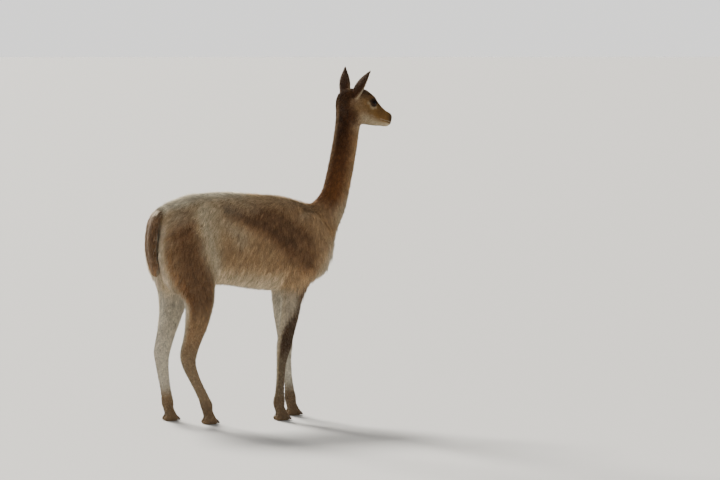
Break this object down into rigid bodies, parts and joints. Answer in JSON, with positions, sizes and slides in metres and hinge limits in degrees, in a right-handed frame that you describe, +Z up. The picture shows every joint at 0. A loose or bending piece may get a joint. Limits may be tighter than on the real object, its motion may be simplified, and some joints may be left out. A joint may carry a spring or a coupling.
{
  "type": "standing vicuna model",
  "caption": "Life-size still model of a vicuna standing alert on all fours, head raised and turned a little to its left, ears up, hind legs placed apart.",
  "frame": {"origin": "on the floor under the middle of the model's bounding box", "axes": "+X the way the animal faces, +Y to its left, +Z up"},
  "size_m": [1.0602, 0.295, 1.3976],
  "materials": {
    "fleece": "soft short fleece, cinnamon brown above and cream below",
    "short_hair": "short smooth hair, brown face and pale throat",
    "eye": "wet dark brown eye",
    "nail": "dark horn"
  },
  "bodies": {
    "root": {"torso": "fleece", "neck": "fleece", "tail": "fleece", "head": "short_hair", "ear_right": "short_hair", "ear_left": "short_hair", "eye_right": "eye", "eye_left": "eye", "leg_front_right_upper": "short_hair", "leg_front_right_lower": "short_hair", "foot_front_right": "short_hair", "nail_front_right_inner": "nail", "nail_front_right_outer": "nail", "leg_front_left_upper": "short_hair", "leg_front_left_lower": "short_hair", "foot_front_left": "short_hair", "nail_front_left_inner": "nail", "nail_front_left_outer": "nail", "leg_hind_right_upper": "short_hair", "leg_hind_right_lower": "short_hair", "foot_hind_right": "short_hair", "nail_hind_right_inner": "nail", "nail_hind_right_outer": "nail", "leg_hind_left_upper": "short_hair", "leg_hind_left_lower": "short_hair", "foot_hind_left": "short_hair", "nail_hind_left_inner": "nail", "nail_hind_left_outer": "nail"}
  },
  "joints": []
}
